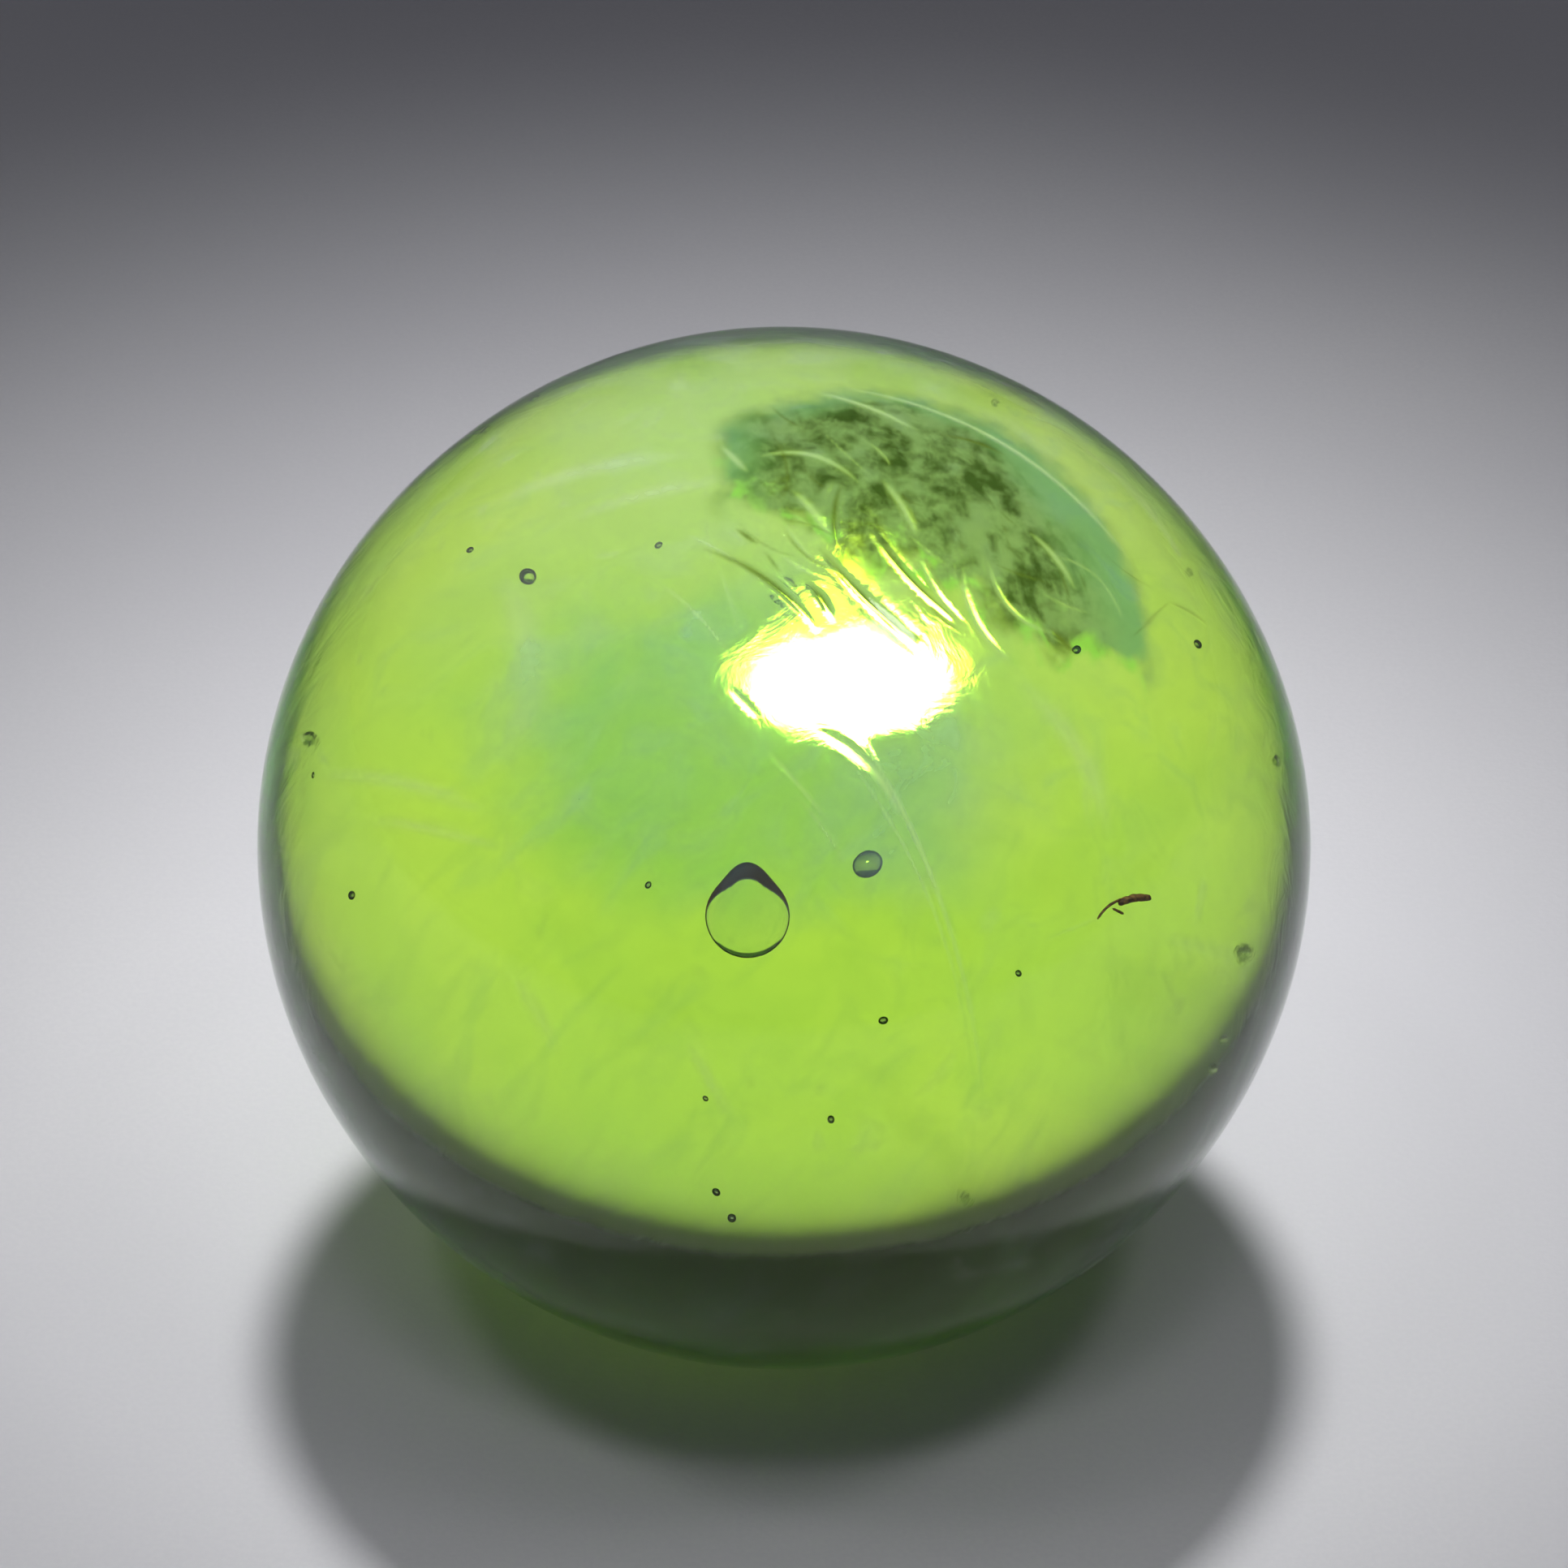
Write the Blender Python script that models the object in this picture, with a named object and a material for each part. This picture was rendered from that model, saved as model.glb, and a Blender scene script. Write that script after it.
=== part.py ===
"""Case opening friction ball: one solid ball of clear, tacky cast polyurethane.

A watch repairer presses it on a screw-down case back and turns, and the grip of the
soft material unscrews the back. It is cast in one piece, so the whole object is one
solid. Units are metres, +Z is up, and the origin is the centre of the small flat that
the soft ball stands on.
"""

import math

import bmesh
import bpy
from mathutils import Vector

# Driving dimensions
BALL_WIDTH = 0.0650  # across X, the nominal size of the ball
BALL_DEPTH = 0.0640  # across Y, as cast balls come out slightly out of round
BALL_ROUND_HEIGHT = 0.0645  # along Z, before the ball settles on its flat
REST_FLAT_DIAMETER = 0.0080  # where the soft ball settles under its own weight
SINK_COUNT = 4  # shallow dips round the equator between X and Y, from uneven shrinkage
SINK_DEPTH = 0.00040

FACET_SUBDIVISIONS = 5  # of an icosahedron: facets of about 2 mm

# The clear lime green of the cast material
TINT = (0.40, 0.66, 0.08, 1.0)
ROUGHNESS = 0.12
TRANSMISSION = 0.9
REFRACTIVE_INDEX = 1.49

HALF_AXES = Vector((BALL_WIDTH / 2, BALL_DEPTH / 2, BALL_ROUND_HEIGHT / 2))


def clear_scene():
    for old in list(bpy.data.objects):
        bpy.data.objects.remove(old)


def surface_point(direction):
    """The point of the ball's surface in this direction from its centre."""
    point = Vector(unit * half for unit, half in zip(direction, HALF_AXES))
    azimuth = math.atan2(direction.y, direction.x)
    equator_share = direction.x**2 + direction.y**2
    dip = SINK_DEPTH * equator_share**2 * math.sin(SINK_COUNT * azimuth / 2) ** 2
    return point - direction * dip


def flat_depth():
    """How far below the ball's centre the resting flat lies."""
    share = (REST_FLAT_DIAMETER / 2) / HALF_AXES.x
    return HALF_AXES.z * math.sqrt(1 - share**2)


def cut_resting_flat(bm, depth):
    """Takes off the cap below the flat and closes the cut with one flat face."""
    everything = bm.verts[:] + bm.edges[:] + bm.faces[:]
    cut = bmesh.ops.bisect_plane(
        bm,
        geom=everything,
        plane_co=(0, 0, -depth),
        plane_no=(0, 0, -1),
        clear_outer=True,
    )
    rim = [item for item in cut["geom_cut"] if isinstance(item, bmesh.types.BMEdge)]
    bmesh.ops.holes_fill(bm, edges=rim)
    bmesh.ops.recalc_face_normals(bm, faces=bm.faces)


def clear_polyurethane():
    material = bpy.data.materials.new("clear_polyurethane")
    material.use_nodes = True
    shader = material.node_tree.nodes["Principled BSDF"]
    shader.inputs["Base Color"].default_value = TINT
    shader.inputs["Metallic"].default_value = 0.0
    shader.inputs["Roughness"].default_value = ROUGHNESS
    shader.inputs["Transmission Weight"].default_value = TRANSMISSION
    shader.inputs["IOR"].default_value = REFRACTIVE_INDEX
    return material


def friction_ball():
    """The whole ball, standing on its flat at Z = 0."""
    mesh = bpy.data.meshes.new("friction_ball")
    bm = bmesh.new()
    bmesh.ops.create_icosphere(bm, subdivisions=FACET_SUBDIVISIONS, radius=1.0)
    for vert in bm.verts:
        vert.co = surface_point(vert.co.normalized())
    depth = flat_depth()
    cut_resting_flat(bm, depth)
    bm.to_mesh(mesh)
    bm.free()
    mesh.shade_smooth()
    mesh.set_sharp_from_angle(angle=math.radians(5.0))
    mesh.materials.append(clear_polyurethane())
    ball = bpy.data.objects.new("friction_ball", mesh)
    ball.location.z = depth
    bpy.context.scene.collection.objects.link(ball)


clear_scene()
friction_ball()
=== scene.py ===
import math
import random

import bmesh
import bpy
import numpy as np
from mathutils import Matrix, Vector, noise


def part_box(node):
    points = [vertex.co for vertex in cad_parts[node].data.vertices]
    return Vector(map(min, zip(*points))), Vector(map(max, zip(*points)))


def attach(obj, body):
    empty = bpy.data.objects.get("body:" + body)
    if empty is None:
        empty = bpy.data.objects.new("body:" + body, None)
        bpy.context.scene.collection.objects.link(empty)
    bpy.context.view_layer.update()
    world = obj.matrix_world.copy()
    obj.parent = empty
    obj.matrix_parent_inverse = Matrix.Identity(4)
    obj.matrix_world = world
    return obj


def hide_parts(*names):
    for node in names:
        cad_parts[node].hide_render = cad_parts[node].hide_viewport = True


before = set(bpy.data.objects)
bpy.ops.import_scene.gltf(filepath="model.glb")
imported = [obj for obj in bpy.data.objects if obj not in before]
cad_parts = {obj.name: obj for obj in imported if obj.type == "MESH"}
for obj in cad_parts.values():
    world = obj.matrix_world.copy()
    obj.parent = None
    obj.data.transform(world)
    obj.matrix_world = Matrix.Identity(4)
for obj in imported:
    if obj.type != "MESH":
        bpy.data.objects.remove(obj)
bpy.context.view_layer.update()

# The looks of a case opening friction ball: a solid clear ball of tacky lime green
# polyurethane with air bubbles cast into it, a scuffed and creased patch, old
# scratches, a bluish film from handling, and a splinter of lint stuck to it.
# Units are metres, in the frame of the CAD model.

NODE = "friction_ball"
BODY = "root"

# The ball, worked out from its CAD solid. Its resting flat and its dips repeat the values
# that the solid was made with.
LOWEST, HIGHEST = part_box(NODE)
HALF_WIDTH = (HIGHEST.x - LOWEST.x) / 2
HALF_DEPTH = (HIGHEST.y - LOWEST.y) / 2
REST_FLAT_RADIUS = 0.0040
FLAT_SHARE = math.sqrt(1 - (REST_FLAT_RADIUS / HALF_WIDTH) ** 2)
HALF_HEIGHT = (HIGHEST.z - LOWEST.z) / (1 + FLAT_SHARE)
CENTRE = Vector((0, 0, HIGHEST.z - HALF_HEIGHT))
RADIUS = (HALF_WIDTH + HALF_DEPTH + HALF_HEIGHT) / 3
SINK_COUNT = 4  # shallow dips round the equator
SINK_DEPTH = 0.00040
REFRACTIVE_INDEX = 1.49

# The camera looks down on the ball, with the ball a little below the middle of the view
VIEW_ELEVATION = math.radians(36.0)
VIEW_DISTANCE = 0.42
OUTLINE_SLOPE = math.tan(math.asin(RADIUS / VIEW_DISTANCE))
BALL_SHARE_OF_FRAME = 0.667
BALL_DROP_IN_FRAME = 0.041
TOWARD_CAMERA = Vector((0, -math.cos(VIEW_ELEVATION), math.sin(VIEW_ELEVATION)))
ACROSS = Vector((1, 0, 0))
UPWARD = TOWARD_CAMERA.cross(ACROSS)
EYE = TOWARD_CAMERA * (VIEW_DISTANCE / RADIUS)  # in radii from the ball's centre

# Fineness of the skin's mesh
SKIN_SUBDIVISIONS = 7
REFINE_REACHES = (0.030, 0.014)  # shares of the radius round each mark

WAVINESS = 0.000012  # height of the soft, wide ripples left by the mould
FAR_AWAY = 9.0  # farther than any two points of the unit ball
NOISE_STEPS = (7.3, 3.1, 5.7)  # how far each seed moves the noise
SKIN_LAYERS = ("crease", "streak", "patch", "band", "fringe", "film", "veil")


def sight(across, up):
    """The line of sight that passes this far across and up the ball's outline, as shares
    of the outline's radius."""
    return ((ACROSS * across + UPWARD * up) * OUTLINE_SLOPE - TOWARD_CAMERA).normalized()


def face(across, up):
    """The direction, from the ball's centre, of the skin that is seen along that line."""
    ray = sight(across, up)
    closest = -EYE.dot(ray)
    half_chord = math.sqrt(max(0.0, 1 - EYE.length_squared + closest**2))
    return (EYE + ray * (closest - half_chord)).normalized()


# Strokes on the skin, as (start across, start up, end across, end up, bow, half width),
# as shares of the radius, with the bow as a share of the stroke's length. The places of the
# marks, bubbles, lint and lamps were read off the photograph and rounded. A crease
# is a groove, drawn dark with painted shade.
CREASES = [
    (-0.15, 0.57, 0.06, 0.42, 0.08, 0.0065),
    (0.07, 0.57, 0.25, 0.39, -0.03, 0.0070),
    (0.05, 0.50, 0.09, 0.44, 0.05, 0.0070),
    (0.11, 0.70, 0.10, 0.58, -0.08, 0.0055),
    (0.17, 0.60, 0.32, 0.44, -0.04, 0.0055),
    (-0.09, 0.61, -0.05, 0.58, 0.00, 0.0050),
    (0.51, 0.42, 0.56, 0.37, -0.05, 0.0055),
    (0.30, 0.79, 0.42, 0.75, 0.06, 0.0050),
    (0.66, 0.40, 0.73, 0.47, 0.00, 0.0030),
    (0.73, 0.47, 0.80, 0.43, 0.05, 0.0030),
]
CREASE_DEPTH = 0.16  # of its half width
LIP_SHARE = 0.35  # how far a mark's lip stands out, as a share of the mark's depth

# A streak is a pale scratch or the edge of a lifted flake.
STREAKS = [
    (-0.04, 0.75, 0.14, 0.70, 0.14, 0.0060),
    (0.02, 0.68, 0.09, 0.59, 0.04, 0.0090),
    (0.19, 0.70, 0.25, 0.60, 0.05, 0.0075),
    (-0.12, 0.77, -0.07, 0.72, 0.00, 0.0060),
    (0.07, 0.87, 0.25, 0.80, 0.04, 0.0070),
    (0.47, 0.60, 0.55, 0.50, 0.06, 0.0065),
    (0.34, 0.53, 0.43, 0.36, -0.12, 0.0060),
    (0.39, 0.54, 0.51, 0.41, -0.15, 0.0050),
    (0.26, 0.55, 0.34, 0.43, -0.06, 0.0050),
    (0.07, 0.22, 0.22, 0.06, 0.10, 0.0080),
    (0.14, 0.22, 0.38, -0.48, 0.06, 0.0050),
    (0.12, 0.17, 0.36, -0.44, 0.07, 0.0035),
    (-0.03, 0.18, 0.08, 0.05, 0.02, 0.0035),
    (-0.10, 0.30, -0.05, 0.25, 0.00, 0.0050),
    (0.50, -0.18, 0.62, -0.13, 0.00, 0.0030),
    (0.12, 0.88, 0.65, 0.56, 0.10, 0.0070),
    (-0.19, 0.60, -0.06, 0.52, 0.05, 0.0040),
    (-0.26, 0.52, -0.10, 0.36, 0.06, 0.0030),
    (0.02, 0.10, 0.12, -0.04, 0.03, 0.0030),
]
STREAK_DEPTH = 0.07  # of its half width
FULL_TONE_WIDTH = 0.0048  # a finer stroke is fainter

# A wisp is a broad, faint smear.
WISPS = [
    (-0.53, 0.50, -0.53, 0.18, 0.14, 0.035),
    (-0.88, 0.14, -0.58, 0.07, 0.06, 0.013),
    (-0.80, 0.05, -0.55, 0.00, 0.04, 0.010),
    (-0.55, 0.66, -0.19, 0.75, 0.05, 0.018),
    (-0.40, 0.63, -0.12, 0.70, 0.04, 0.012),
    (-0.43, 0.08, -0.36, 0.10, 0.00, 0.028),
    (0.73, -0.18, 0.87, -0.22, 0.05, 0.010),
    (0.46, 0.30, 0.62, 0.02, 0.10, 0.022),
    (-0.52, -0.25, -0.44, -0.40, 0.05, 0.012),
    (-0.18, -0.34, -0.10, -0.52, -0.05, 0.010),
]

# Finer creases and streaks lie across the patch's lower edge
FINE_MARK_COUNT = 40
FINE_MARK_DEPTH = 0.05  # of its half width
FINE_MARK_INWARD = (-0.16, 0.20)  # how far above that edge it starts
FINE_MARK_LENGTH = (0.05, 0.14)
FINE_MARK_HEADING = (-85, -15)  # in degrees
FINE_MARK_BOW = (-0.12, 0.12)
FINE_MARK_WIDTH = (0.0018, 0.0034)
RANDOM_SEED = 11

# The scuffed patch lies inside an arc and above a ragged, falling line. A cool band runs
# along its arc and its left end. The patch and its band are coloured with painted shade,
# and painted green glints lie along its lower edge.
PATCH_ARC_CENTRE = (0.14, 0.31)
PATCH_ARC_RADIUS = 0.58
PATCH_LINE_START = (-0.13, 0.69)
PATCH_LINE_LENGTH = 0.72
PATCH_LINE_FALL = math.radians(25)
PATCH_LEFT_END = -0.13
PATCH_ROUGHNESS = 0.000005  # height of its relief
BAND_WIDTH = 0.055
BAND_EXTRA_WIDTH = 0.120  # more toward the right
FIBRE_TURN = (math.pi / 2 - VIEW_ELEVATION, 0.0, 0.16)  # its fibres run up the view

# The bluish film left by handling
FILM_CENTRE = (-0.07, 0.19)
FILM_SIZE = (0.55, 0.38)
VEIL_CENTRE = (0.26, 0.09)  # a paler smear beside it
VEIL_SIZE = (0.26, 0.22)

# Bubbles, as (across, up, depth under the skin, half length, half width, half thickness,
# turn in degrees, how dull its wall is), as shares of the radius
BUBBLES = [
    (0.16, -0.03, 0.10, 0.027, 0.023, 0.011, -30.0, 0.40),
    (-0.49, 0.52, 0.06, 0.019, 0.015, 0.013, 40.0, 0.0),
]

# Seeds are the smallest bubbles, as (across, up, depth, radius). Some of the specks in the
# photograph may be dirt instead. More seeds, all guessed, lie out of sight.
SEEDS = [
    (-0.60, 0.57, 0.05, 0.008),
    (-0.24, 0.58, 0.08, 0.008),
    (-0.13, -0.66, 0.06, 0.009),
    (-0.10, -0.71, 0.05, 0.010),
    (0.45, -0.24, 0.07, 0.007),
    (0.19, -0.33, 0.09, 0.009),
    (-0.83, -0.09, 0.04, 0.010),
    (0.56, 0.38, 0.05, 0.010),
    (-0.90, 0.14, 0.03, 0.006),
    (-0.26, -0.07, 0.12, 0.007),
    (0.79, 0.39, 0.04, 0.011),
    (0.09, -0.52, 0.10, 0.008),
    (-0.15, -0.48, 0.14, 0.006),
]
SEED_SQUASH = 0.8
SEED_TURN = 900  # in degrees for each unit across, so that the seeds lie differently
FAR_SEED_COUNT = 26
FAR_SEED_PLACE = (0.60, 0.93)  # how far from the ball's centre
FAR_SEED_RADIUS = (0.004, 0.010)

# The large bubble, as (across, up, depth under the skin, radius)
TEARDROP = (-0.07, -0.13, 0.06, 0.074)
DROP_TIP = 0.28  # how far its tip stands out
DROP_TIP_SHARPNESS = 10
DROP_THICKNESS = 0.10
DROP_FLATNESS = 7
DROP_RESIDUE = 0.30  # how far the residue reaches in from the tip
DROP_RESIDUE_SHARPNESS = 1.6
DROP_RESIDUE_BLUR = 0.04
DROP_RINGS = 18
DROP_SIDES = 72

# The splinter of lint, its tail and a side strand, as (stroke, thick, thin) with the radii
# in metres. A strand's stroke has no width.
LINT = [
    ((0.64, -0.11, 0.70, -0.10, 0.10, 0), 0.00024, 0.00011),
    ((0.60, -0.14, 0.65, -0.10, 0.10, 0), 0.00008, 0.00004),
    ((0.63, -0.12, 0.65, -0.13, 0.00, 0), 0.00008, 0.00004),
]

LINT_SPOTS = 16
LINT_BLUNTNESS = 0.3  # less makes its ends blunter
LINT_LUMPS = 0.35
LINT_LUMP_SCALE = 9000

# Colours
DEPTH_TINT = (0.765, 0.970, 0.0, 1)
DEPTH_DENSITY = 41.0
CLEAR_COOL = (0.80, 0.91, 0.94, 1)
CLEAR_WARM = (1.0, 1.0, 0.88, 1)
CLOUD_TINT = (0.78, 0.86, 0.80, 1)
FEATHER_TINT = (0.78, 0.88, 0.95, 1)
FILM_TINT = (0.43, 0.74, 0.80, 1)
# The patch's colours are painted shade: dark and paler mottles, and a cool band
SCUFF_SHADE_DARK = (0.018, 0.030, 0.040, 1)
SCUFF_SHADE_PALE = (0.30, 0.36, 0.80, 1)
SCUFF_SHADE_BAND = (0.23, 0.44, 0.80, 1)
# Painted green glints along the patch's lower edge
EDGE_GLINT = (0.40, 1.0, 0.40, 1)
STREAK_TINT = (0.86, 1.0, 0.90, 1)
# The creases' painted shade
CREASE_SHADE = (0.10, 0.10, 0.03, 1)
RESIDUE_TINT = (0.20, 0.075, 0.02, 1)
WALL_DULL = (0.80, 0.86, 0.80, 1)
WALL_CLEAR = (0.97, 0.99, 0.97, 1)
LINT_DARK = (0.055, 0.034, 0.012, 1)
LINT_PALE = (0.26, 0.16, 0.05, 1)
FLOOR_COOL = (0.60, 0.595, 0.645, 1)
FLOOR_WARM = (0.655, 0.65, 0.69, 1)
FLOOR_GRAIN = (0.57, 0.57, 0.62, 1)

# Heights of the finest relief, which is only shaded
SKIN_GRAIN_HEIGHT = 0.00003
LINT_GRAIN_HEIGHT = 0.00003
FLOOR_GRAIN_HEIGHT = 0.00003

# The studio: a pale floor, and a sky that is brighter on the camera's side. Angles are in
# degrees, and azimuth 0 is the camera's side.
WHITE = (1.0, 1.0, 1.0)
FLOOR_HALF_SIZE = 1.5
FLOOR_GAP = 0.00005
WORLD_COLOUR = (0.86, 0.87, 1.0, 1)
WORLD_FRONT = 0.15
WORLD_BACK = 0.012

# The pool is the bright floor behind the ball, which is seen through it
POOL_COLOUR = (1.0, 1.0, 0.97)
POOL_ENERGY = 39.0
POOL_ANGLE = 13.0
POOL_RADIUS = 0.07
POOL_AZIMUTH = 180
POOL_ELEVATION = 75.0
POOL_DISTANCE = 0.7
POOL_SHIFT = 0.030

# The outer pools light the floor in front and at the sides, for the other views
OUTER_AZIMUTHS = (0, 64, 296)
OUTER_ELEVATION = 75
OUTER_ENERGY = 36.0
OUTER_ANGLE = 30.0
OUTER_RADIUS = 0.26
OUTER_DISTANCE = 0.40  # from the ball to the middle of the pool
OUTER_THROW = 1.2  # from there to the spot

FILL_COLOUR = (0.95, 0.96, 1.0)
FILL_ENERGY = 0.40
FILL_SIZE = (0.7, 0.5)
FILL_ELEVATION = 82
FILL_DISTANCE = 1.0

# The glow's size and place are shares of the ball's radius
GLOW_ENERGY = 0.0016
GLOW_COLOUR = (0.42, 1.0, 0.07)
GLOW_SIZE = (0.9, 0.5)
GLOW_FORWARD = 0.30
GLOW_RISE = 0.40

GLOSS_PLACE = (0.12, 0.34)
GLOSS_ENERGY = 0.9
GLOSS_SIZE = (0.26, 0.13)
GLOSS_DISTANCE = 0.5

# The lamps behind the ball make its hot spot, as (name, shape, across, up, width, height,
# turn in degrees, radiance, colour), with the sizes as they are seen through the ball
LAMP_GAP = 0.10
LAMP_SPREAD = 36.0
LAMP_YELLOW = (1.0, 0.80, 0.15)
LAMPS = [
    ("lamp_core", "ELLIPSE", 0.11, 0.32, 0.38, 0.21, 0, 40.0, WHITE),
    ("lamp_tail", "ELLIPSE", 0.12, 0.22, 0.10, 0.03, -50, 25.0, WHITE),
    ("lamp_left", "RECTANGLE", 0.04, 0.38, 0.29, 0.14, 39, 6.0, LAMP_YELLOW),
    ("lamp_right", "RECTANGLE", 0.27, 0.36, 0.12, 0.09, -38, 6.0, LAMP_YELLOW),
]


def smoothstep(low, high, value):
    share = np.clip((value - low) / (high - low), 0.0, 1.0)
    return share * share * (3 - 2 * share)


def stroke_curve(stroke, steps=14):
    """A stroke's path on the unit ball: a straight run that bows to its left."""
    start_across, start_up, end_across, end_up, bow = stroke[:5]
    run, rise = end_across - start_across, end_up - start_up
    path = []
    for step in range(steps + 1):
        t = step / steps
        side = 4 * bow * t * (1 - t)
        path.append(face(start_across + run * t - rise * side, start_up + rise * t + run * side))
    return np.array(path)


def curve_distance(directions, curve):
    """How far each direction lies from the curve, and its share of the way along it."""
    nearest = np.full(len(directions), FAR_AWAY)
    share = np.zeros(len(directions))
    spans = len(curve) - 1
    for i in range(spans):
        step = curve[i + 1] - curve[i]
        t = np.clip((directions - curve[i]) @ step / (step @ step), 0.0, 1.0)
        gap = np.linalg.norm(directions - curve[i] - t[:, None] * step, axis=1)
        closer = gap < nearest
        nearest[closer] = gap[closer]
        share[closer] = (i + t[closer]) / spans
    return nearest, share


def noise_at(directions, scale, seed, detail=3):
    """Soft noise from about -1 to 1 on the unit ball."""
    offset = Vector([seed * step for step in NOISE_STEPS])
    places = [Vector(direction) * scale + offset for direction in directions]
    return np.array([noise.fractal(place, 1.0, 2.0, detail) for place in places])


def fine_marks():
    """Short hairlines scattered over the patch and below its ragged edge."""
    chance = random.Random(RANDOM_SEED)
    fall, level = math.sin(PATCH_LINE_FALL), math.cos(PATCH_LINE_FALL)
    marks = []
    for _ in range(FINE_MARK_COUNT):
        along = chance.random() * PATCH_LINE_LENGTH
        inward = chance.uniform(*FINE_MARK_INWARD)
        across = PATCH_LINE_START[0] + along * level + inward * fall
        up = PATCH_LINE_START[1] - along * fall + inward * level
        length = chance.uniform(*FINE_MARK_LENGTH)
        heading = math.radians(chance.uniform(*FINE_MARK_HEADING))
        end_across = across + length * math.cos(heading)
        end_up = up + length * math.sin(heading)
        bow = chance.uniform(*FINE_MARK_BOW)
        width = chance.uniform(*FINE_MARK_WIDTH)
        marks.append((across, up, end_across, end_up, bow, width))
    return marks


FINE_MARKS = fine_marks()
MARK_CURVES = [stroke_curve(stroke) for stroke in CREASES + STREAKS + FINE_MARKS]


def mark_reach(directions):
    """The distance to the nearest mark."""
    reach = np.full(len(directions), FAR_AWAY)
    front = directions @ np.array(TOWARD_CAMERA) > 0
    for curve in MARK_CURVES:
        reach[front] = np.minimum(reach[front], curve_distance(directions[front], curve)[0])
    return reach


def refine(bm, reach):
    """Halves the edges near the marks, so that the skin can hold their shape."""
    bm.verts.ensure_lookup_table()
    directions = np.array([vert.co for vert in bm.verts])
    near = mark_reach(directions) < reach
    edges = [edge for edge in bm.edges if near[edge.verts[0].index] and near[edge.verts[1].index]]
    bmesh.ops.subdivide_edges(bm, edges=edges, cuts=1, use_grid_fill=True)
    bmesh.ops.triangulate(bm, faces=bm.faces[:])
    for vert in bm.verts:
        vert.co.normalize()
    bm.verts.index_update()


class Skin:
    """What the skin is like in each direction: its marks, and how far they stand out."""

    def __init__(self, directions):
        self.directions = directions
        from_eye = directions - np.array(EYE)
        outline = -(from_eye @ np.array(TOWARD_CAMERA)) * OUTLINE_SLOPE
        self.across = from_eye @ np.array(ACROSS) / outline
        self.up = from_eye @ np.array(UPWARD) / outline
        self.front = directions @ np.array(TOWARD_CAMERA) > 0.05
        count = len(directions)
        self.crease = np.zeros(count)
        self.streak = np.zeros(count)
        self.height = np.zeros(count)
        for stroke in CREASES:
            self.add_stroke(stroke, self.crease, -CREASE_DEPTH)
        for stroke in STREAKS:
            self.add_stroke(stroke, self.streak, STREAK_DEPTH)
        for stroke in FINE_MARKS[0::2]:
            self.add_stroke(stroke, self.crease, -FINE_MARK_DEPTH)
        for stroke in FINE_MARKS[1::2]:
            self.add_stroke(stroke, self.streak, FINE_MARK_DEPTH)
        self.add_patch()
        self.add_film()
        for stroke in WISPS:
            self.add_stroke(stroke, self.veil, 0.0)
        self.add_waves()

    def add_stroke(self, stroke, tone, relief):
        """Draws a stroke, and raises or sinks the skin along it, with a faint lip."""
        width = stroke[5]
        chosen = np.flatnonzero(self.front)
        gap, share = curve_distance(self.directions[chosen], stroke_curve(stroke))
        taper = np.sqrt(np.sin(math.pi * np.clip(share, 0.02, 0.98)))
        core = np.exp(-((gap / (width * (0.4 + 0.6 * taper))) ** 2)) * taper
        lip = np.exp(-(((gap - 2.0 * width) / width) ** 2)) * taper
        tone[chosen] = np.maximum(tone[chosen], core * min(1.0, width / FULL_TONE_WIDTH))
        self.height[chosen] += relief * width * RADIUS * (core - LIP_SHARE * lip)

    def add_patch(self):
        """The scuffed patch, and the cool band along its arc, coloured with painted shade."""
        self.patch = np.zeros(len(self.directions))
        self.band = np.zeros(len(self.directions))
        self.fringe = np.zeros(len(self.directions))
        chosen = np.flatnonzero(self.front)
        across, up = self.across[chosen], self.up[chosen]
        ragged = noise_at(self.directions[chosen], 9.0, 1.0)
        fine = noise_at(self.directions[chosen], 24.0, 2.0)
        from_centre = np.hypot(across - PATCH_ARC_CENTRE[0], up - PATCH_ARC_CENTRE[1])
        inside = PATCH_ARC_RADIUS - from_centre
        above = (across - PATCH_LINE_START[0]) * math.sin(PATCH_LINE_FALL)
        above += (up - PATCH_LINE_START[1]) * math.cos(PATCH_LINE_FALL)
        arc = smoothstep(-0.004, 0.040, inside + 0.010 * fine)
        line = smoothstep(-0.030, 0.050, above + 0.060 * ragged + 0.030 * fine)
        past_end = across - PATCH_LEFT_END + 0.020 * ragged
        end = smoothstep(-0.020, 0.030, past_end)
        self.patch[chosen] = arc * line * end
        band_width = BAND_WIDTH + BAND_EXTRA_WIDTH * smoothstep(0.25, 0.60, across)
        cool_arc = smoothstep(1.0, 0.15, (inside + 0.020 * ragged) / band_width)
        cool_end = 0.8 * smoothstep(0.130, 0.010, past_end)
        self.band[chosen] = np.maximum(cool_arc, cool_end) * self.patch[chosen]
        # The middle of the patch's lower edge, where the material paints green glints
        self.fringe[chosen] = 4 * line * (1 - line) * arc * end
        self.height[chosen] += self.patch[chosen] * PATCH_ROUGHNESS * (ragged + fine)

    def add_film(self):
        self.film = np.zeros(len(self.directions))
        self.veil = np.zeros(len(self.directions))
        chosen = np.flatnonzero(self.front)
        across = (self.across[chosen] - FILM_CENTRE[0]) / FILM_SIZE[0]
        up = (self.up[chosen] - FILM_CENTRE[1]) / FILM_SIZE[1]
        cloud = noise_at(self.directions[chosen], 5.0, 3.0)
        self.film[chosen] = smoothstep(1.12, 0.55, np.hypot(across, up) + 0.20 * cloud)
        across = (self.across[chosen] - VEIL_CENTRE[0]) / VEIL_SIZE[0]
        up = (self.up[chosen] - VEIL_CENTRE[1]) / VEIL_SIZE[1]
        self.veil[chosen] = smoothstep(1.20, 0.20, np.hypot(across, up) + 0.25 * cloud)

    def add_waves(self):
        self.height += WAVINESS * noise_at(self.directions, 3.0, 4.0, 2)

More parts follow.
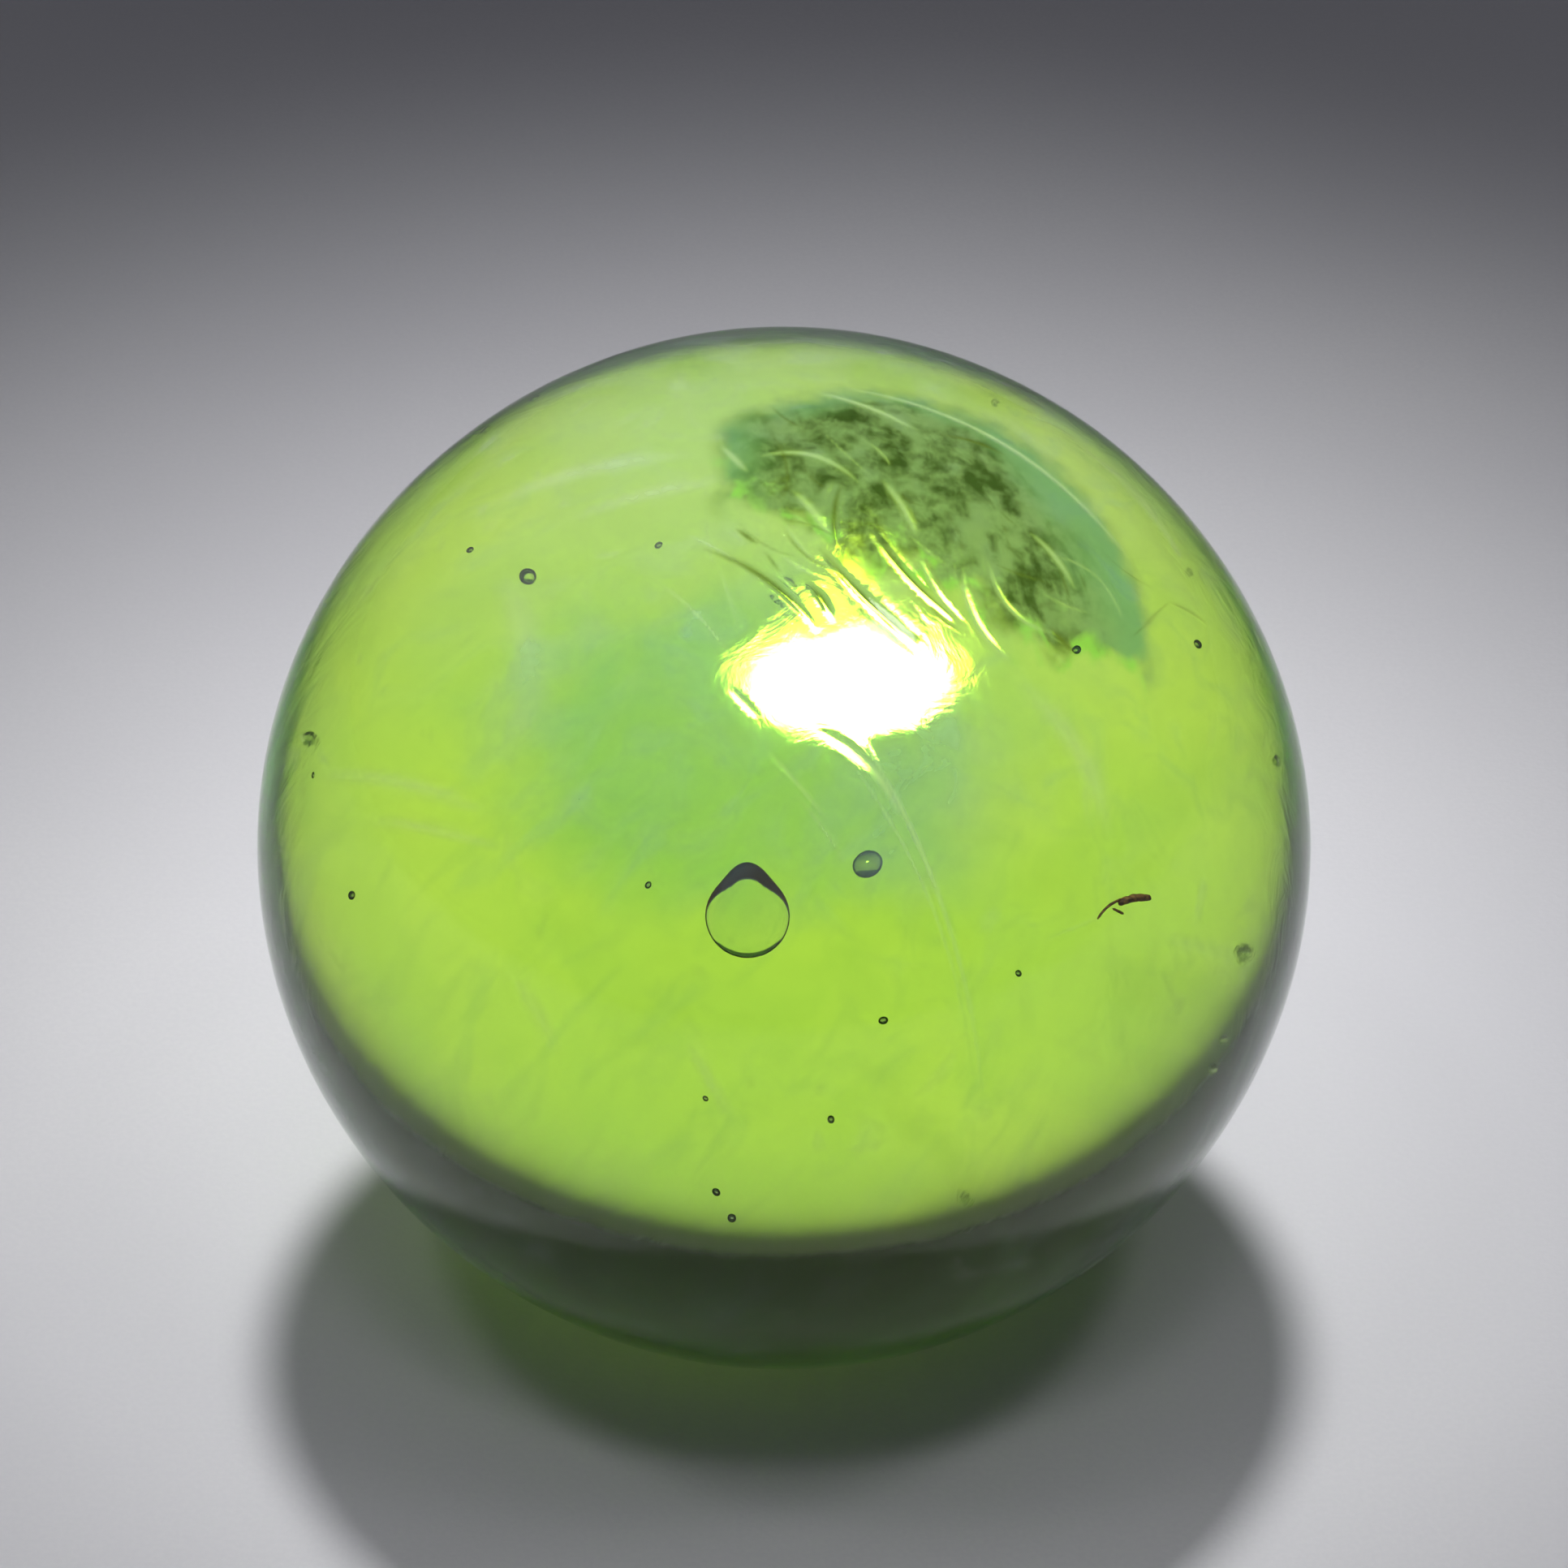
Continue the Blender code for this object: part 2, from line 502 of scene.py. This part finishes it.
    def store(self, bm):
        """Keeps the marks on the mesh's points, for its material to read."""
        for name in SKIN_LAYERS:
            layer = bm.verts.layers.float.new(name)
            for vert, value in zip(bm.verts, getattr(self, name)):
                vert[layer] = value


def skin_point(direction, height):
    """The point of the ball's surface in this direction, raised by a height."""
    azimuth = math.atan2(direction.y, direction.x)
    equator_share = direction.x**2 + direction.y**2
    dip = SINK_DEPTH * equator_share**2 * math.sin(SINK_COUNT * azimuth / 2) ** 2
    sized = Vector((direction.x * HALF_WIDTH, direction.y * HALF_DEPTH, direction.z * HALF_HEIGHT))
    return CENTRE + sized + direction * (height - dip)


def flatten_foot(bm):
    """Presses the ball's foot flat. The skin below the resting plane is cut off."""
    everything = bm.verts[:] + bm.edges[:] + bm.faces[:]
    cut = bmesh.ops.bisect_plane(
        bm,
        geom=everything,
        plane_co=(0, 0, LOWEST.z),
        plane_no=(0, 0, -1),
        clear_outer=True,
    )
    rim = [item for item in cut["geom_cut"] if isinstance(item, bmesh.types.BMEdge)]
    for edge in rim:
        edge.smooth = False
    bmesh.ops.holes_fill(bm, edges=rim)
    bmesh.ops.recalc_face_normals(bm, faces=bm.faces)


def inside_frame(across, up, depth, turn=0.0):
    """The place and the axes of something under the skin, seen straight through it."""
    outward = face(across, up)
    inward = refracted(sight(across, up), outward, 1 / REFRACTIVE_INDEX)
    place = CENTRE + outward * RADIUS + inward * depth * RADIUS
    side = ACROSS.cross(inward).normalized()
    first = side.cross(inward).normalized()
    axes = Matrix((first, side, inward)).transposed().to_4x4()
    return Matrix.Translation(place) @ axes @ Matrix.Rotation(math.radians(turn), 4, "Z")


def refracted(ray, normal, ratio):
    """The ray's direction after it enters or leaves the ball through its skin."""
    facing = -ray.dot(normal)
    straight = 1 - ratio**2 * (1 - facing**2)
    return (ratio * ray + (ratio * facing - math.sqrt(straight)) * normal).normalized()


def add_cavity(bm, matrix, subdivisions):
    """An air bubble: a closed wall whose faces point into its air."""
    made = bmesh.ops.create_icosphere(bm, subdivisions=subdivisions, radius=1.0, matrix=matrix)
    faces = list({found for vert in made["verts"] for found in vert.link_faces})
    bmesh.ops.reverse_faces(bm, faces=faces)
    for found in faces:
        found.material_index = 1
    return made["verts"]


def add_bubbles(bm):
    crease = bm.verts.layers.float["crease"]
    for across, up, depth, length, width, thickness, turn, dullness in BUBBLES:
        size = Matrix.Diagonal((length * RADIUS, width * RADIUS, thickness * RADIUS, 1.0))
        for vert in add_cavity(bm, inside_frame(across, up, depth, turn) @ size, 5):
            vert[crease] = dullness
    for across, up, depth, radius in SEEDS:
        size = Matrix.Diagonal((radius * RADIUS, radius * RADIUS * SEED_SQUASH, radius * RADIUS, 1.0))
        add_cavity(bm, inside_frame(across, up, depth, across * SEED_TURN) @ size, 3)
    chance = random.Random(RANDOM_SEED)
    for _ in range(FAR_SEED_COUNT):
        heading = Vector([chance.gauss(0, 1) for _ in range(3)]).normalized()
        if heading.dot(TOWARD_CAMERA) > 0:
            heading -= 2 * heading.dot(TOWARD_CAMERA) * TOWARD_CAMERA
        spot = CENTRE + heading * RADIUS * chance.uniform(*FAR_SEED_PLACE)
        size = Matrix.Scale(RADIUS * chance.uniform(*FAR_SEED_RADIUS), 4)
        add_cavity(bm, Matrix.Translation(spot) @ size, 3)


def add_teardrop(bm):
    """The large bubble: a flattened drop with a pinched tip that holds dark residue. Its
    faces point into its air, as those of the other bubbles do."""
    across, up, depth, radius = TEARDROP
    place = inside_frame(across, up, depth)
    crease = bm.verts.layers.float["crease"]
    out_and_back = [(ring, 1) for ring in range(1, DROP_RINGS + 1)]
    out_and_back += [(ring, -1) for ring in range(DROP_RINGS - 1, 0, -1)]
    rings = []
    for ring, side in out_and_back:
        share = math.sin(math.pi / 2 * ring / DROP_RINGS)
        level = side * DROP_THICKNESS * radius * math.sqrt(max(0.0, 1 - share**DROP_FLATNESS))
        points = range(DROP_SIDES)
        rings.append([drop_point(bm, place, crease, radius, share, level, i) for i in points])
    made = []
    for first, second in zip(rings, rings[1:]):
        for i in range(DROP_SIDES):
            j = (i + 1) % DROP_SIDES
            made.append(bm.faces.new((first[i], first[j], second[j], second[i])))
    made.append(bm.faces.new(rings[0][::-1]))
    made.append(bm.faces.new(rings[-1]))
    for found in made:
        found.material_index = 1
    outward = made[0].calc_center_median() - place.translation
    made[0].normal_update()
    if made[0].normal.dot(outward) > 0:
        bmesh.ops.reverse_faces(bm, faces=made)


def drop_point(bm, place, crease, radius, share, level, turn):
    """One point of the drop's wall, its tip toward the top of the view."""
    angle = 2 * math.pi * turn / DROP_SIDES
    toward_tip = max(0.0, math.cos(angle))
    reach = radius * share * (1 + DROP_TIP * toward_tip**DROP_TIP_SHARPNESS)
    spot = Vector((reach * math.sin(angle), reach * math.cos(angle), level)) * RADIUS
    vert = bm.verts.new(place @ spot)
    edge = 1 - DROP_RESIDUE * toward_tip**DROP_RESIDUE_SHARPNESS
    vert[crease] = float(smoothstep(edge - DROP_RESIDUE_BLUR, edge + DROP_RESIDUE_BLUR, share))
    return vert


def make_skin():
    bm = bmesh.new()
    bmesh.ops.create_icosphere(bm, subdivisions=SKIN_SUBDIVISIONS, radius=1.0)
    for reach in REFINE_REACHES:
        refine(bm, reach)
    skin = Skin(np.array([vert.co for vert in bm.verts]))
    skin.store(bm)
    for vert, height in zip(bm.verts, skin.height):
        vert.co = skin_point(vert.co.normalized(), height)
    flatten_foot(bm)
    add_teardrop(bm)
    add_bubbles(bm)
    for found in bm.faces:
        found.smooth = True
    ball = link_mesh("ball_skin", bm)
    ball.data.materials.append(clear_polyurethane())
    ball.data.materials.append(bubble_wall())
    return ball


def link_mesh(name, bm):
    mesh = bpy.data.meshes.new(name)
    bm.to_mesh(mesh)
    bm.free()
    made = bpy.data.objects.new(name, mesh)
    bpy.context.scene.collection.objects.link(made)
    return made


def tube(bm, spots, radii, sides=10):
    """A closed, lumpy tube along the spots, with a radius at each."""
    rings = []
    for i, (spot, radius) in enumerate(zip(spots, radii)):
        ahead = spots[min(i + 1, len(spots) - 1)] - spots[max(i - 1, 0)]
        turned = ahead.to_track_quat("Z", "X")
        ring = []
        for j in range(sides):
            angle = 2 * math.pi * j / sides
            lump = 1 + LINT_LUMPS * noise.noise(spot * LINT_LUMP_SCALE + Vector((j, 0, 0)))
            outward = turned @ Vector((math.cos(angle), math.sin(angle), 0))
            ring.append(bm.verts.new(spot + outward * radius * lump))
        rings.append(ring)
    for first, second in zip(rings, rings[1:]):
        for j in range(sides):
            k = (j + 1) % sides
            bm.faces.new((first[j], first[k], second[k], second[j]))
    bm.faces.new(rings[0][::-1])
    bm.faces.new(rings[-1])


def make_lint():
    """A dark splinter of lint stuck to the tacky skin, with a thin bent tail."""
    bm = bmesh.new()
    for stroke, thick, thin in LINT:
        knots = stroke_curve(stroke, LINT_SPOTS)
        swells = [math.sin(math.pi * i / LINT_SPOTS) ** LINT_BLUNTNESS for i in range(LINT_SPOTS + 1)]
        radii = [thin + (thick - thin) * swell for swell in swells]
        spots = [skin_point(Vector(knot), radius * 0.5) for knot, radius in zip(knots, radii)]
        tube(bm, spots, radii)
    for found in bm.faces:
        found.smooth = True
    lint = link_mesh("lint_splinter", bm)
    lint.data.materials.append(brown_lint())
    return lint


class Shader:
    """A material's nodes, made by short calls."""

    def __init__(self, name):
        self.material = bpy.data.materials.new(name)
        self.material.use_nodes = True
        self.tree = self.material.node_tree
        self.surface = self.tree.nodes["Principled BSDF"]
        self.output = self.tree.nodes["Material Output"]
        self.place = self.tree.nodes.new("ShaderNodeTexCoord").outputs["Object"]

    def put(self, socket, value):
        if isinstance(value, bpy.types.NodeSocket):
            self.tree.links.new(value, socket)
        else:
            socket.default_value = value

    def set(self, name, value):
        self.put(self.surface.inputs[name], value)

    def attribute(self, name):
        node = self.tree.nodes.new("ShaderNodeAttribute")
        node.attribute_name = name
        return node.outputs["Fac"]

    def height(self):
        node = self.tree.nodes.new("ShaderNodeSeparateXYZ")
        self.put(node.inputs[0], self.place)
        return node.outputs["Z"]

    def noise(self, scale, detail=4.0, distortion=0.0, stretch=(1, 1, 1), turn=(0, 0, 0)):
        """Noise whose grain is turned, and then drawn out along its own axes."""
        mapping = self.tree.nodes.new("ShaderNodeMapping")
        mapping.vector_type = "TEXTURE"
        self.put(mapping.inputs["Vector"], self.place)
        mapping.inputs["Scale"].default_value = stretch
        mapping.inputs["Rotation"].default_value = turn
        node = self.tree.nodes.new("ShaderNodeTexNoise")
        self.put(node.inputs["Vector"], mapping.outputs["Vector"])
        node.inputs["Scale"].default_value = scale
        node.inputs["Detail"].default_value = detail
        node.inputs["Distortion"].default_value = distortion
        return node.outputs["Fac"]

    def span(self, value, low, high, to_low=0.0, to_high=1.0):
        node = self.tree.nodes.new("ShaderNodeMapRange")
        node.interpolation_type = "SMOOTHSTEP"
        self.put(node.inputs["Value"], value)
        limits = {"From Min": low, "From Max": high, "To Min": to_low, "To Max": to_high}
        for name, number in limits.items():
            node.inputs[name].default_value = number
        return node.outputs["Result"]

    def math(self, operation, first, second):
        node = self.tree.nodes.new("ShaderNodeMath")
        node.operation = operation
        self.put(node.inputs[0], first)
        self.put(node.inputs[1], second)
        return node.outputs[0]

    def mix(self, share, first, second):
        node = self.tree.nodes.new("ShaderNodeMix")
        node.data_type = "RGBA"
        self.put(node.inputs["Factor"], share)
        self.put(node.inputs["A"], first)
        self.put(node.inputs["B"], second)
        return node.outputs["Result"]

    def bump(self, height, distance, strength=1.0):
        node = self.tree.nodes.new("ShaderNodeBump")
        self.put(node.inputs["Height"], height)
        node.inputs["Distance"].default_value = distance
        node.inputs["Strength"].default_value = strength
        self.set("Normal", node.outputs["Normal"])


def tint_by_depth(shader):
    """The green of the cast material, which deepens with the depth that light crosses."""
    absorption = shader.tree.nodes.new("ShaderNodeVolumeAbsorption")
    absorption.inputs["Color"].default_value = DEPTH_TINT
    absorption.inputs["Density"].default_value = DEPTH_DENSITY
    shader.put(shader.output.inputs["Volume"], absorption.outputs["Volume"])


def clear_polyurethane():
    """The ball's clear material, with the tone, the haze and the gloss of its marks."""
    shader = Shader("clear_polyurethane")
    shader.set("IOR", REFRACTIVE_INDEX)
    clouds = shader.noise(95, 5, 0.8)
    feathers = shader.noise(300, 6, 1.2, (1.0, 1.0, 3.0), (0.3, 0.5, 0.2))
    fibres = shader.noise(640, 6, 0.7, (1.0, 3.5, 1.0), FIBRE_TURN)
    grain = shader.noise(1500, 3)
    crease, streak = shader.attribute("crease"), shader.attribute("streak")
    patch, band = shader.attribute("patch"), shader.attribute("band")
    fringe = shader.attribute("fringe")
    film, veil = shader.attribute("film"), shader.attribute("veil")

    blotches = shader.span(shader.noise(42, 4, 0.6), 0.38, 0.64)
    colour = shader.mix(blotches, CLEAR_COOL, CLEAR_WARM)
    colour = shader.mix(shader.span(clouds, 0.50, 0.72, 0.0, 0.7), colour, CLOUD_TINT)
    colour = shader.mix(shader.span(feathers, 0.48, 0.70, 0.0, 0.6), colour, FEATHER_TINT)
    uneven_film = shader.math("MULTIPLY", film, shader.span(clouds, 0.25, 0.75, 0.70, 1.0))
    colour = shader.mix(uneven_film, colour, FILM_TINT)
    # Painted shade over the scuffed patch: dark and paler mottles, with a cool band
    mottle_noise = shader.math("ADD", shader.noise(230, 6, 0.4), shader.noise(760, 5))
    mottle_noise = shader.math("ADD", mottle_noise, fibres)
    mottle = shader.span(mottle_noise, 1.20, 1.80)
    scuff_shade = shader.mix(mottle, SCUFF_SHADE_DARK, SCUFF_SHADE_PALE)
    scuff_shade = shader.mix(band, scuff_shade, SCUFF_SHADE_BAND)
    colour = shader.mix(patch, colour, scuff_shade)
    # Painted glints: bright green spots along the patch's lower edge
    edge = shader.math("MULTIPLY", fringe, shader.span(fibres, 0.45, 0.62, 0.0, 0.8))
    colour = shader.mix(edge, colour, EDGE_GLINT)
    colour = shader.mix(shader.math("MULTIPLY", streak, 0.8), colour, STREAK_TINT)
    # Painted shade in the creases
    colour = shader.mix(shader.math("MULTIPLY", crease, 0.92), colour, CREASE_SHADE)
    shader.set("Base Color", colour)

    hazy = shader.math("MULTIPLY", film, shader.span(feathers, 0.30, 0.70, 0.05, 0.13))
    hazy = shader.math("ADD", hazy, shader.math("MULTIPLY", band, 0.05))
    hazy = shader.math("ADD", hazy, shader.math("MULTIPLY", patch, 0.06))
    hazy = shader.math("ADD", hazy, shader.math("MULTIPLY", veil, 0.15))
    dust = shader.span(shader.height(), CENTRE.z + 0.45 * RADIUS, CENTRE.z + RADIUS, 0.0, 0.16)
    dust = shader.math("MULTIPLY", dust, shader.span(clouds, 0.25, 0.65, 0.35, 1.0))
    dust = shader.math("MULTIPLY", dust, shader.math("SUBTRACT", 1.0, patch))
    hazy = shader.math("ADD", hazy, dust)
    hazy = shader.math("ADD", hazy, shader.math("MULTIPLY", streak, 0.16))
    smudges = shader.span(shader.noise(170, 7, 1.6), 0.60, 0.74, 0.0, 0.09)
    hazy = shader.math("ADD", hazy, smudges)
    hazy = shader.math("ADD", hazy, shader.span(feathers, 0.45, 0.75, 0.005, 0.05))
    shader.set("Transmission Weight", shader.math("SUBTRACT", 1.0, hazy))

    rough = shader.span(clouds, 0.3, 0.7, 0.03, 0.09)
    rough = shader.math("ADD", rough, shader.math("MULTIPLY", patch, 0.04))
    rough = shader.math("ADD", rough, shader.math("MULTIPLY", streak, 0.05))
    shader.set("Roughness", rough)
    relief = shader.math("ADD", shader.math("MULTIPLY", grain, 0.06), feathers)
    shader.bump(relief, SKIN_GRAIN_HEIGHT, 0.6)
    tint_by_depth(shader)
    return shader.material


def bubble_wall():
    """The wall of a bubble: clear and smooth, and brown where residue lies on it."""
    shader = Shader("bubble_wall")
    shader.set("IOR", REFRACTIVE_INDEX)
    residue = shader.span(shader.attribute("crease"), 0.25, 0.75)
    specks = shader.span(shader.noise(2600, 4), 0.40, 0.65, 0.90, 1.0)
    dulled = shader.mix(specks, WALL_DULL, WALL_CLEAR)
    shader.set("Base Color", shader.mix(residue, dulled, RESIDUE_TINT))
    shader.set("Roughness", shader.math("MULTIPLY", residue, 0.35))
    blocked = shader.math("MULTIPLY", residue, 0.95)
    shader.set("Transmission Weight", shader.math("SUBTRACT", 1.0, blocked))
    return shader.material


def brown_lint():
    shader = Shader("brown_lint")
    strands = shader.noise(5200, 5, 0.5, (4.0, 1.0, 1.0))
    shader.set("Base Color", shader.mix(shader.span(strands, 0.35, 0.7), LINT_DARK, LINT_PALE))
    shader.set("Roughness", shader.span(strands, 0.3, 0.7, 0.55, 0.85))
    shader.bump(strands, LINT_GRAIN_HEIGHT)
    return shader.material


def pale_floor():
    shader = Shader("pale_floor")
    soft = shader.noise(9, 3, 0.2)
    grain = shader.noise(2400, 2)
    colour = shader.mix(shader.span(soft, 0.3, 0.7), FLOOR_COOL, FLOOR_WARM)
    colour = shader.mix(shader.span(grain, 0.3, 0.7, 0.0, 0.25), colour, FLOOR_GRAIN)
    shader.set("Base Color", colour)
    shader.set("Roughness", 0.75)
    shader.set("Specular IOR Level", 0.2)
    shader.bump(grain, FLOOR_GRAIN_HEIGHT, 0.5)
    return shader.material


def make_floor():
    bm = bmesh.new()
    bmesh.ops.create_grid(bm, x_segments=8, y_segments=8, size=FLOOR_HALF_SIZE)
    floor = link_mesh("floor", bm)
    floor.location.z = LOWEST.z - FLOOR_GAP
    floor.data.materials.append(pale_floor())
    return floor


def point_at(item, direction, distance, target):
    """Puts a light or camera at a distance from its target, looking at it."""
    item.location = target + direction * distance
    item.rotation_euler = direction.to_track_quat("Z", "Y").to_euler()


def from_side(azimuth, elevation):
    """The direction of a light as seen from the ball. Azimuth 0 is the camera's side."""
    turn, rise = math.radians(azimuth), math.radians(elevation)
    return Vector((math.sin(turn) * math.cos(rise), -math.cos(turn) * math.cos(rise), math.sin(rise)))


def link_light(name, kind, energy, colour):
    light = bpy.data.lights.new(name, kind)
    light.energy = energy
    light.color = colour
    item = bpy.data.objects.new(name, light)
    bpy.context.scene.collection.objects.link(item)
    return item


def floor_spot(name, energy, angle, radius):
    """A soft-edged spot for the floor, which the ball's gloss doesn't mirror."""
    spot = link_light(name, "SPOT", energy, POOL_COLOUR)
    spot.data.spot_size = math.radians(angle)
    spot.data.spot_blend = 1.0
    spot.data.shadow_soft_size = radius
    spot.visible_camera = False
    spot.visible_glossy = False
    spot.visible_transmission = False
    return spot


def light_pool():
    """A soft spot from above and behind, which lights the floor round the ball."""
    pool = floor_spot("pool", POOL_ENERGY, POOL_ANGLE, POOL_RADIUS)
    direction = from_side(POOL_AZIMUTH, POOL_ELEVATION)
    point_at(pool, direction, POOL_DISTANCE, Vector((0, POOL_SHIFT, 0)))


def outer_pools():
    """Wide soft spots on the floor in front and at the sides, for the other views."""
    for azimuth in OUTER_AZIMUTHS:
        outer = floor_spot(f"outer_pool_{azimuth}", OUTER_ENERGY, OUTER_ANGLE, OUTER_RADIUS)
        middle = from_side(azimuth, 0) * OUTER_DISTANCE
        point_at(outer, from_side(azimuth, OUTER_ELEVATION), OUTER_THROW, middle)


def green_glow():
    """The green light that the ball gathers on the floor in front of it."""
    glow = link_light("glow", "AREA", GLOW_ENERGY, GLOW_COLOUR)
    glow.data.shape = "ELLIPSE"
    glow.data.size = GLOW_SIZE[0] * RADIUS
    glow.data.size_y = GLOW_SIZE[1] * RADIUS
    glow.data.use_shadow = False
    glow.location = Vector((0, -GLOW_FORWARD * RADIUS, LOWEST.z + GLOW_RISE * RADIUS))
    glow.visible_camera = False
    glow.visible_glossy = False
    glow.visible_transmission = False


def gloss_panel():
    """A panel that only the ball's gloss shows, mirrored in the skin over the hot spot."""
    outward = face(*GLOSS_PLACE)
    ray = sight(*GLOSS_PLACE)
    mirrored = (ray - 2 * ray.dot(outward) * outward).normalized()
    panel = link_light("gloss_panel", "AREA", GLOSS_ENERGY, WHITE)
    panel.data.shape = "ELLIPSE"
    panel.data.size, panel.data.size_y = GLOSS_SIZE
    point_at(panel, mirrored, GLOSS_DISTANCE, CENTRE + outward * RADIUS)
    panel.visible_camera = False
    panel.visible_diffuse = False
    panel.visible_transmission = False


def soft_fill():
    """A large soft panel above, for the floor and the skin's haze."""
    fill = link_light("fill", "AREA", FILL_ENERGY, FILL_COLOUR)
    fill.data.shape = "RECTANGLE"
    fill.data.size, fill.data.size_y = FILL_SIZE
    point_at(fill, from_side(0, FILL_ELEVATION), FILL_DISTANCE, CENTRE)
    fill.visible_glossy = False
    fill.visible_transmission = False


def through_ball(across, up):
    """Where a line of sight leaves the back of the ball, and its direction there."""
    outward = face(across, up)
    inward = refracted(sight(across, up), outward, 1 / REFRACTIVE_INDEX)
    leaving = outward - 2 * outward.dot(inward) * inward
    return CENTRE + leaving * RADIUS, refracted(inward, -leaving, REFRACTIVE_INDEX)


def lamp_behind(name, shape, across, up, wide, high, turn, radiance, colour):
    """A small lamp behind the ball, seen through it at this place, size and turn."""
    start, ray = through_ball(across, up)
    middle = start + ray * LAMP_GAP * RADIUS

    def seen(place_across, place_up):
        spot, line = through_ball(place_across, place_up)
        return spot + line * ((middle - spot).dot(ray) / line.dot(ray))

    tilt = math.radians(turn)
    out, over = wide / 2 * math.cos(tilt), wide / 2 * math.sin(tilt)
    side = seen(across + out, up + over) - seen(across - out, up - over)
    out, over = high / 2 * math.sin(tilt), high / 2 * math.cos(tilt)
    rise = seen(across - out, up + over) - seen(across + out, up - over)
    area = (math.pi / 4 if shape == "ELLIPSE" else 1.0) * side.length * rise.length
    half_spread = math.radians(LAMP_SPREAD) / 2
    narrowing = 1 - half_spread / math.tan(half_spread)
    lamp = link_light(name, "AREA", radiance * math.pi * area * narrowing, colour)
    lamp.data.shape = shape
    lamp.data.size = side.length
    lamp.data.size_y = rise.length
    lamp.data.spread = 2 * half_spread
    first = side.normalized()
    second = ray.cross(first).normalized()
    lamp.matrix_world = Matrix.Translation(middle) @ Matrix((first, second, ray)).transposed().to_4x4()
    lamp.visible_camera = False
    lamp.visible_diffuse = False
    lamp.visible_glossy = False


def graded_world():
    """A plain sky that fades from the camera's side to the back."""
    world = bpy.data.worlds.new("studio")
    world.use_nodes = True
    tree = world.node_tree
    background = tree.nodes["Background"]
    background.inputs["Color"].default_value = WORLD_COLOUR
    heading = tree.nodes.new("ShaderNodeTexCoord")
    parts = tree.nodes.new("ShaderNodeSeparateXYZ")
    tree.links.new(heading.outputs["Generated"], parts.inputs[0])
    fade = tree.nodes.new("ShaderNodeMapRange")
    fade.interpolation_type = "SMOOTHSTEP"
    tree.links.new(parts.outputs["Y"], fade.inputs["Value"])
    limits = {"From Min": -0.9, "From Max": 0.5, "To Min": WORLD_FRONT, "To Max": WORLD_BACK}
    for name, number in limits.items():
        fade.inputs[name].default_value = number
    tree.links.new(fade.outputs["Result"], background.inputs["Strength"])
    bpy.context.scene.world = world


def studio():
    graded_world()
    bpy.context.scene.view_settings.view_transform = "Standard"
    light_pool()
    outer_pools()
    green_glow()
    gloss_panel()
    soft_fill()
    for lamp in LAMPS:
        lamp_behind(*lamp)


def make_camera():
    camera = bpy.data.cameras.new("camera")
    item = bpy.data.objects.new("camera", camera)
    bpy.context.scene.collection.objects.link(item)
    point_at(item, TOWARD_CAMERA, VIEW_DISTANCE, CENTRE)
    camera.sensor_width = 36.0
    camera.lens = camera.sensor_width * BALL_SHARE_OF_FRAME / 2 / OUTLINE_SLOPE
    camera.shift_y = BALL_DROP_IN_FRAME
    bpy.context.scene.camera = item


ball = make_skin()
lint = make_lint()
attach(ball, BODY)
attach(lint, BODY)
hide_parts(NODE)
floor = make_floor()
studio()
make_camera()
